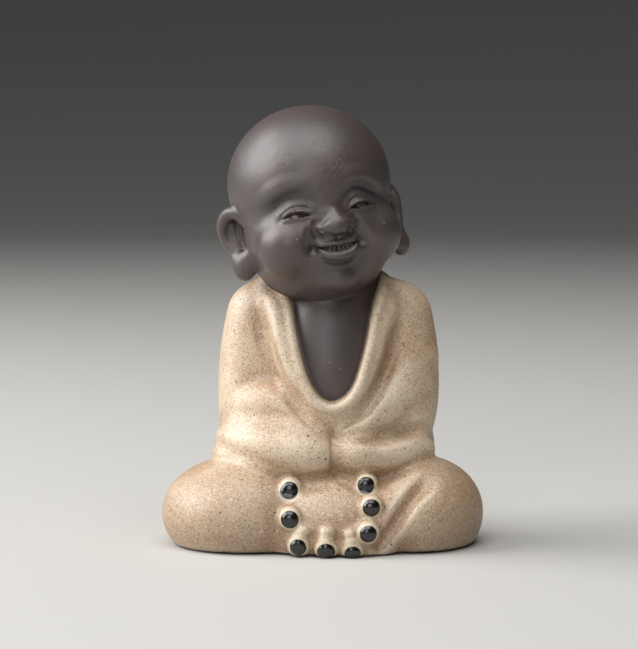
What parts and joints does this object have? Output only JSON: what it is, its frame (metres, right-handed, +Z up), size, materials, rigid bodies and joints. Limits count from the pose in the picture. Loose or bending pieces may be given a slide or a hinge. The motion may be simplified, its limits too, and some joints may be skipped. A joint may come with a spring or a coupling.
{
  "type": "baby monk figurine",
  "caption": "Laughing child monk seated cross-legged, in stoneware with bare clay skin, a speckled glazed robe and black prayer beads; an ornament that stands on its flat underside.",
  "frame": {"origin": "on the flat underside, below the middle of the trunk", "axes": "+Z up, -Y forward, the way the figure sits, +X to the right of someone who faces it"},
  "size_m": [0.0736, 0.0549, 0.0999],
  "materials": {
    "stoneware": "Satin sand-coloured glaze with brown speckle on the robe, unglazed purple-brown clay on head, neck and chest, glossy black glaze dots on the beads."
  },
  "bodies": {
    "root": {"monk_statue": "stoneware"}
  },
  "joints": []
}
